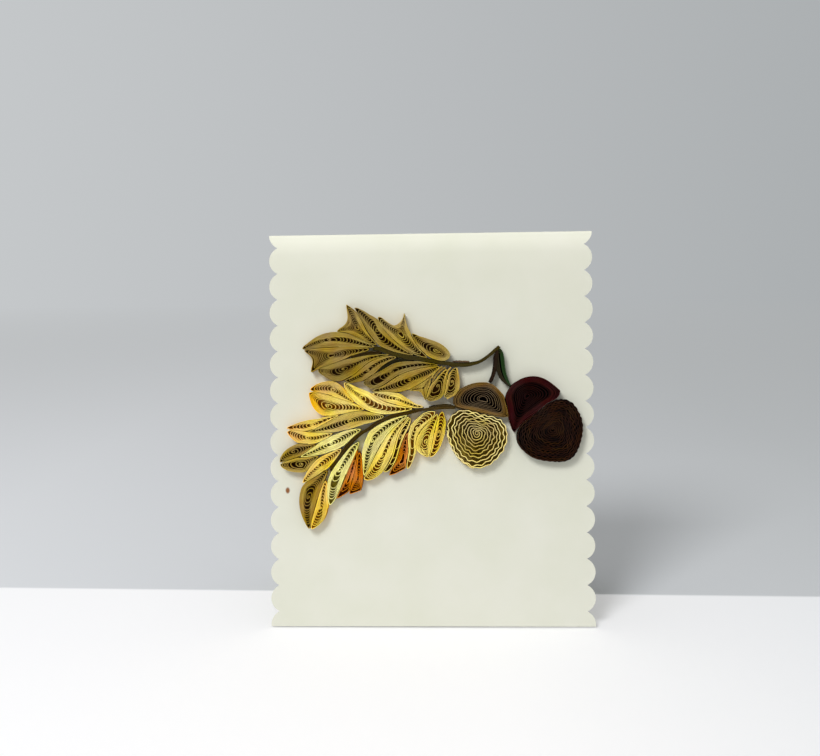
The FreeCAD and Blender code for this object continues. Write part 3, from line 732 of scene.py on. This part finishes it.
# Each paper: its face in the outer turns and in the inner turns, then its cut edge, with a second one where
# the inner turns differ.  The cut edges are set paler than the faces, as a painted highlight.
PAPERS = {
    "olive_strip": (srgb(178, 142, 30), srgb(190, 150, 28), srgb(186, 165, 92)),
    "khaki_strip": (srgb(146, 118, 36), srgb(156, 126, 38), srgb(172, 152, 88)),
    "yellow_strip": (srgb(242, 196, 42), srgb(246, 200, 48), srgb(252, 232, 128)),
    "pale_green_strip": (srgb(226, 216, 90), srgb(234, 226, 106), srgb(242, 236, 158)),
    "orange_strip": (srgb(196, 84, 12), srgb(216, 108, 20), srgb(216, 116, 36)),
    "cup_taupe": (srgb(106, 80, 42), srgb(46, 36, 24), srgb(130, 104, 62), srgb(116, 102, 84)),
    "cup_burgundy": (srgb(54, 6, 11), srgb(16, 3, 6), srgb(68, 12, 18), srgb(54, 16, 18)),
    "nut_cream": (srgb(206, 190, 96), srgb(180, 164, 76), srgb(250, 241, 168), srgb(204, 188, 112)),
    "nut_brown": (srgb(12, 6, 3), srgb(12, 6, 3), srgb(72, 45, 24)),
    "stem_strip": (srgb(52, 44, 14), srgb(52, 44, 14), srgb(74, 66, 28)),
    "brown_strip": (srgb(52, 34, 18), srgb(52, 34, 18), srgb(76, 56, 36)),
}
LOOP_GREEN = (srgb(20, 40, 14), srgb(22, 18, 8), srgb(34, 62, 24), srgb(44, 37, 18))
OPEN_WORK = {"nut_cream": 0.6, "yellow_strip": 0.66, "pale_green_strip": 0.45}    # how much light gets in
slot_of = {part["node"]: part["material_slot"] for part in frame["record"]["subparts"]}
papers = {slot: paper_material(slot, *colours, openness=OPEN_WORK.get(slot, 0.04))
          for slot, colours in PAPERS.items()}
edge_of = {node: np.vstack([outlines(node)[0], outlines(node)[0][:1]]) for node in frame["nodes"]
           if slot_of[node] in PAPERS}


def neighbours(node):
    """Outlines of the pieces round about."""
    middle = edge_of[node].mean(0)[None]
    gaps = sorted((distance(middle, edge)[0], other) for other, edge in edge_of.items() if other != node)
    return [densify(edge_of[other], 0.5) for _, other in gaps[:NEIGHBOURS]]


# Strips that stand loose beside a roll: how many abreast, their tone, and the line they follow.
STRAYS = {
    "upper_leaf_roll_12": [(3, 0.5, [(5.1, 83.2), (3.5, 81.6), (2.0, 79.6), (0.6, 77.6), (-0.5, 75.6)]),
                           (3, -4, [(4.8, 83.9), (2.9, 82.5), (1.5, 80.8), (0.5, 79.0)]),
                           (3, 1, [(3.8, 84.1), (2.3, 83.0), (1.1, 81.6), (0.3, 80.2)])],
    "upper_leaf_roll_13": [(3, 2, [(8.5, 83.6), (8.9, 81.7), (9.2, 79.2), (9.0, 76.9), (7.8, 75.0),
                                   (5.2, 73.6)]),
                           (3, 0, [(6.6, 83.8), (5.5, 82.4), (4.6, 80.2), (4.2, 78.0), (4.0, 76.0)])],
}
# Rolls whose eye stays near one end, where the CAD has it.
HIGH_EYES = ("upper_leaf_roll_12", "upper_leaf_roll_13")
for node in sorted(edge_of):
    if "_roll_" not in node and not node.endswith("_cup"):
        continue
    loops = outlines(node)
    sides = [densify(side, 0.45) for side in split_at_corners(loops[0])]
    # The film reaches almost to the neighbours, so that the gaps between the pieces show its painted shade.
    film = np.vstack([side[:-1] for side in pressed(sides, neighbours(node), FILM_GAP)])
    sides = pressed(sides, neighbours(node))
    loops[0] = np.vstack([side[:-1] for side in sides])
    eye = loops[1].mean(0)
    half_eye = np.linalg.norm(loops[1] - eye, axis=1).min()
    sheet = CUP_PAPER if node.endswith("_cup") else OPEN_PAPER if slot_of[node] in OPEN_WORK else PAPER
    if node == "left_acorn_cup":
        turns = coiled(loops[0], eye, [0.15] * 7 + [0.3, 0.42] + [0.5] * 12, least=0.5)
    elif node == "right_acorn_cup":
        turns = coiled(loops[0], eye, [0.15] * 9 + [0.3] + [0.52] * 14, least=0.7)
    elif len(sides) == 3:
        turns = coiled(loops[0], eye, [PAPER + 0.01] * 5 + [0.16, 0.2, 0.25] + [0.3] * 9, softening=4)
    else:
        turns = rolled(sides, eye, half_eye, sheet, settled=node in HIGH_EYES)
    lines, bases = strip_lines(turns), [film]
    for count, tones, stray in STRAYS.get(node, []):
        row = abreast(stray, count, PAPER + 0.03, tones)
        lines += row
        bases.append(np.vstack([row[0][0], row[-1][0][::-1]]))
    make_strips(node + "_strip", lines, papers[slot_of[node]], [node],
                sheet, bases)


# ---------------------------------------------------------------- nuts of crimped strip
def crimped(outline, eye, turns, wave, swing, drift, crowding, rim):
    """A crimped strip wound loosely from the round outline to the eye, its end glued to the second turn."""
    around = spread(np.vstack([outline, outline[:1]]), AROUND + 1)[:-1]
    at = np.arange(int(turns * AROUND))
    turn = at / AROUND
    level = np.where(turn < 1, np.clip(turn * 8 - 7, 0, 1) * 0.35, turn - 0.65)
    shrink = 0.03 + 0.97 * (1 - np.minimum(level / (turns - 0.65), 1))**crowding
    wobble = 1 + drift * (np.sin(turn * 2 * math.pi * 1.7 + 2) + 0.7 * np.sin(turn * 2 * math.pi * 3.3 + 1))
    away = around[at % AROUND] - eye
    radius = np.linalg.norm(away, axis=1)
    wobble = np.minimum(wobble, 1 + (1 - shrink) * 0.3)
    line = eye + away * (shrink * wobble * (radius - swing * rim - 0.1) / radius)[:, None]
    run = lengths_along(line)
    steps = np.arange(0, run[-1], wave / 12)
    line = np.stack([np.interp(steps, run, line[:, k]) for k in (0, 1)], 1)
    waves = int(run[-1] / wave) + 2
    knots = np.concatenate([[0], np.cumsum(rng.uniform(0.75, 1.25, waves))]) * wave
    phase = np.interp(steps, knots, np.arange(waves + 1) * 2 * math.pi)
    tangent = np.gradient(line, axis=0)
    tangent /= np.linalg.norm(tangent, axis=1)[:, None]
    normal = np.stack([-tangent[:, 1], tangent[:, 0]], 1)
    room = np.clip(np.linalg.norm(line - eye, axis=1) / 5.5, 0.1, 1) * np.clip(rim + steps / 60, 0, 1)
    swings = swing * room * (1 + 0.3 * np.interp(steps, knots, rng.standard_normal(waves + 1)))
    return line + normal * (swings * np.sin(phase))[:, None]


def loose_line(line, tone_step):
    """One long strip as a single line, with uneven height and tone."""
    top = np.minimum(STRIP - 0.08 + uneven(len(line), 0.05), STRIP)
    return [(line, top, uneven(len(line), tone_step, 18), np.arange(len(line)) / len(line))]


for node, thickness, tones, *winding in (("left_acorn_nut", 0.27, 1.2, 10.6, 2.7, 0.2, 0.014, 1.22, 0.55),
                                         ("right_acorn_nut", 0.3, 4.5, 17.0, 1.9, 0.13, 0.006, 1.0, 0.15)):
    loops = outlines(node)
    line = crimped(loops[0], loops[1].mean(0), *winding)
    make_strips(node + "_strip", loose_line(line, tones), papers[slot_of[node]], [node],
                thickness, [loops[0]])


# ---------------------------------------------------------------- stems of glued strips
def bundle(node, extra=0, taper=0):
    """Strips side by side along a stem, each a little longer or shorter and higher or lower than the next,
    and the outline that they fill.  The extra length is at the right-hand end, and the taper is how many
    steps later each upper strip starts at the left-hand end than the strip below it."""
    sides = [densify(side, 0.4) for side in split_at_corners(outlines(node)[0])]
    sides = sorted(pressed(sides, neighbours(node)), key=lambda side: -lengths_along(side)[-1])
    length = lengths_along(sides[0])[-1]
    n = max(8, int(length / 0.35))
    left, right = spread(sides[0], n), spread(sides[1], n)[::-1]
    if extra:
        first, inward = (0, 1) if left[0, 0] > left[-1, 0] else (-1, -2)
        step = left[first] + right[first] - left[inward] - right[inward]
        reach = np.linspace(extra, extra / 4, 4)[:, None] * step / np.linalg.norm(step)
        left, right = (np.vstack([side[:1] + reach, side] if first == 0 else [side, side[-1:] + reach[::-1]])
                       for side in (left, right))
        n += 4
    width = np.linalg.norm(left - right, axis=1).mean()
    count = max(2, int(width / (PAPER + 0.012)))
    rank = np.arange(count) if left[:, 1].mean() < right[:, 1].mean() else np.arange(count)[::-1]
    late = taper * rank
    from_left = left[0, 0] < left[-1, 0]
    lines = []
    for k in range(count):
        across = (PAPER / 2 + (width - PAPER) * k / (count - 1)) / width
        line = left * (1 - across) + right * across
        line[:, 0] += uneven(n, 0.015, 12)
        cut = slice(int(rng.integers(0, 3)) + (late[k] if from_left else 0),
                    n - int(rng.integers(0, 3)) - (0 if from_left else late[k]))
        top = STRIP - 0.05 - abs(rng.normal(0, 0.12)) + uneven(n, 0.03, 14)
        lines.append((line[cut], np.minimum(top, STRIP)[cut], rng.normal(0, 1.6), k / count))
    return lines, np.vstack([left, right[::-1]])


# Each stem, its extra length and its taper.
for node, extra, taper in (("upper_leaf_stem", 0.5, 0), ("upper_leaf_vein", 0, 0),
                           ("upper_leaf_side_vein", 0, 0), ("stalk_strand", 0, 2),
                           ("left_acorn_stalk", 0.9, 0), ("lower_leaf_stem", 1.4, 0),
                           ("lower_leaf_strand", 0, 3)):
    lines, outline = bundle(node, extra, taper)
    if node == "lower_leaf_stem":
        lines += abreast([(2.0, 70.9), (5.6, 71.2), (7.7, 71.0), (10.6, 70.2), (14.1, 69.5), (17.7, 69.0)],
                         4, 0.17, -2)
    make_strips(node + "_strips", lines, papers[slot_of[node]], [node], bases=[outline])

# The folded loop of strips that holds the right acorn: its two arms, and the loops nested in it.
right_arm = np.array([(26.0, 77.4), (25.1, 79.5), (24.5, 81.7), (24.1, 84.3), (23.9, 86.4), (23.6, 88.1),
                      (23.0, 89.2), (22.2, 89.8)])
left_arm = np.array([(26.0, 77.4), (25.1, 77.8), (23.7, 78.8), (22.4, 80.4), (21.7, 82.1), (21.3, 84.3),
                     (21.1, 86.2), (21.2, 88.1), (21.6, 89.3), (22.2, 89.8)])
right_arm, left_arm = spread(densify(right_arm, 0.3), 60), spread(densify(left_arm, 0.3), 60)
lines = []
for k, inset in enumerate((0.06, 0.2, 0.34)):
    rows = slice(1, 59 - 3 * k)
    down = (right_arm * (1 - inset) + left_arm * inset)[rows]
    back = (left_arm * (1 - inset) + right_arm * inset)[rows][::-1]
    line = smooth_line(np.vstack([down, back]), 2)
    side = np.clip(np.linspace(-1, 2, len(line)), 0, 1) * 0.8 + 0.13
    lines.append((line, STRIP - 0.08 - 0.2 * rng.random(), rng.normal(0, 1), side))
make_strips("right_acorn_stalk_strips", lines, paper_material("loop_green", *LOOP_GREEN),
            ["right_acorn_stalk"], LOOP_PAPER, [np.vstack([right_arm, left_arm[::-1]])])


# ---------------------------------------------------------------- camera, floor and light
def backdrop(tree, direction):
    """The grey of the backdrop in a direction: lighter towards the left."""
    across = add(tree, "ShaderNodeSeparateXYZ", Vector=direction).outputs["X"]
    return ramp(tree, between(tree, across, -0.45, 0.45),
                [(0.0, srgb(197, 200, 202)), (0.5, srgb(184, 187, 189)), (1.0, srgb(169, 173, 175))])


def seen_directly(tree):
    """1 for camera, mirror and glass rays, and 0 for the light that falls on things."""
    path = tree.nodes.new("ShaderNodeLightPath")
    seen = path.outputs["Is Camera Ray"]
    for kind in ("Is Glossy Ray", "Is Transmission Ray"):
        seen = calculate(tree, "ADD", seen, path.outputs[kind], use_clamp=True)
    return seen


def blend(tree, factor, first, second, output):
    """Two shaders mixed into a tree's output node."""
    merged = add(tree, "ShaderNodeMixShader", Fac=factor)
    feed(tree, merged.inputs[1], first.outputs[0])
    feed(tree, merged.inputs[2], second.outputs[0])
    feed(tree, tree.nodes[output].inputs["Surface"], merged.outputs[0])


def put_camera():
    """Placed from the card's four corners in the picture: focal length, then aim and roll."""
    elevation, azimuth, roll = (math.radians(angle) for angle in CAMERA_ANGLES)
    forward = Vector((math.sin(azimuth) * math.cos(elevation), math.cos(azimuth) * math.cos(elevation),
                      -math.sin(elevation)))
    right = Vector((math.cos(azimuth), -math.sin(azimuth), 0))
    up = right.cross(forward)
    right, up = (math.cos(roll) * right + math.sin(roll) * up, -math.sin(roll) * right + math.cos(roll) * up)
    camera = bpy.data.objects.new("camera", bpy.data.cameras.new("camera"))
    camera.data.sensor_width = SENSOR
    camera.data.lens = SENSOR * FOCAL_LENGTH
    camera.data.clip_start = 0.01
    turn = Matrix((right, up, -forward)).transposed().to_4x4()
    camera.matrix_world = Matrix.Translation(CAMERA_SPOT) @ turn
    bpy.context.scene.collection.objects.link(camera)
    bpy.context.scene.camera = camera


def softbox(name, spot, aim, size, power):
    """A large even lamp."""
    light = bpy.data.lights.new(name, "AREA")
    light.shape = "DISK"
    light.size = size
    light.energy = power
    lamp = bpy.data.objects.new(name, light)
    lamp.location = spot
    lamp.rotation_euler = (Vector(aim) - Vector(spot)).to_track_quat("-Z", "Y").to_euler()
    bpy.context.scene.collection.objects.link(lamp)


def make_floor():
    """A pale sheet: near white under the card and light grey from a little way behind it, both darkening
    towards the right as a painted falloff of the light.
    """
    mesh = bpy.data.meshes.new("floor")
    corners = [(x, y, -FLOOR_DROP * MM) for x, y in ((-3, -3), (3, -3), (3, 3), (-3, 3))]
    mesh.from_pydata(corners, [], [(0, 1, 2, 3)])
    floor = bpy.data.objects.new("floor", mesh)
    material, tree, shader = new_material("floor_white", 0.9)
    place = add(tree, "ShaderNodeTexCoord").outputs["Object"]
    split = add(tree, "ShaderNodeSeparateXYZ", Vector=place).outputs
    slanted = calculate(tree, "MULTIPLY_ADD", split["X"], 0.028, split["Y"])
    behind = between(tree, slanted, 0.006, 0.0075)
    sideways = between(tree, split["X"], -0.2, 0.2)
    far = between(tree, split["Y"], 0.25, 1.3)
    # Painted falloff of the light: both parts of the floor grow darker towards the right.
    front = ramp(tree, sideways, [(0.0, srgb(232, 233, 236)), (0.55, srgb(236, 236, 238)),
                                  (1.0, srgb(212, 216, 220))])
    back = ramp(tree, sideways, [(0.0, srgb(227, 230, 234)), (0.5, srgb(215, 218, 222)),
                                 (1.0, srgb(207, 211, 214))])
    faded = mix(tree, far, back, srgb(234, 237, 239))
    feed(tree, shader.inputs["Base Color"], mix(tree, behind, front, faded))
    seen = seen_directly(tree)
    near = calculate(tree, "MULTIPLY_ADD", behind, -0.2, 0.2)
    shader.inputs["Emission Color"].default_value = (1, 1, 1, 1)
    feed(tree, shader.inputs["Emission Strength"], calculate(tree, "MULTIPLY", near, seen))
    direction = measure(tree, "NORMALIZE", measure(tree, "ADD", place, (0, 0.3, 0)))
    haze = add(tree, "ShaderNodeEmission", Color=backdrop(tree, direction))
    blend(tree, calculate(tree, "MULTIPLY", far, seen), shader, haze, "Material Output")
    mesh.materials.append(material)
    bpy.context.scene.collection.objects.link(floor)


def set_world():
    world = bpy.data.worlds.new("studio")
    bpy.context.scene.world = world
    world.use_nodes = True
    tree = world.node_tree
    light = tree.nodes["Background"]
    light.inputs["Color"].default_value = (1.0, 0.995, 0.98, 1)
    light.inputs["Strength"].default_value = 0.5
    direction = add(tree, "ShaderNodeTexCoord").outputs["Generated"]
    seen = add(tree, "ShaderNodeBackground", Color=backdrop(tree, direction), Strength=1.0)
    blend(tree, seen_directly(tree), light, seen, "World Output")


put_camera()
make_floor()
set_world()
softbox("key", spot=(-0.42, -0.70, 0.84), aim=(0, -0.01, 0.07), size=0.44, power=7.35)
bpy.context.scene.view_settings.view_transform = "Standard"
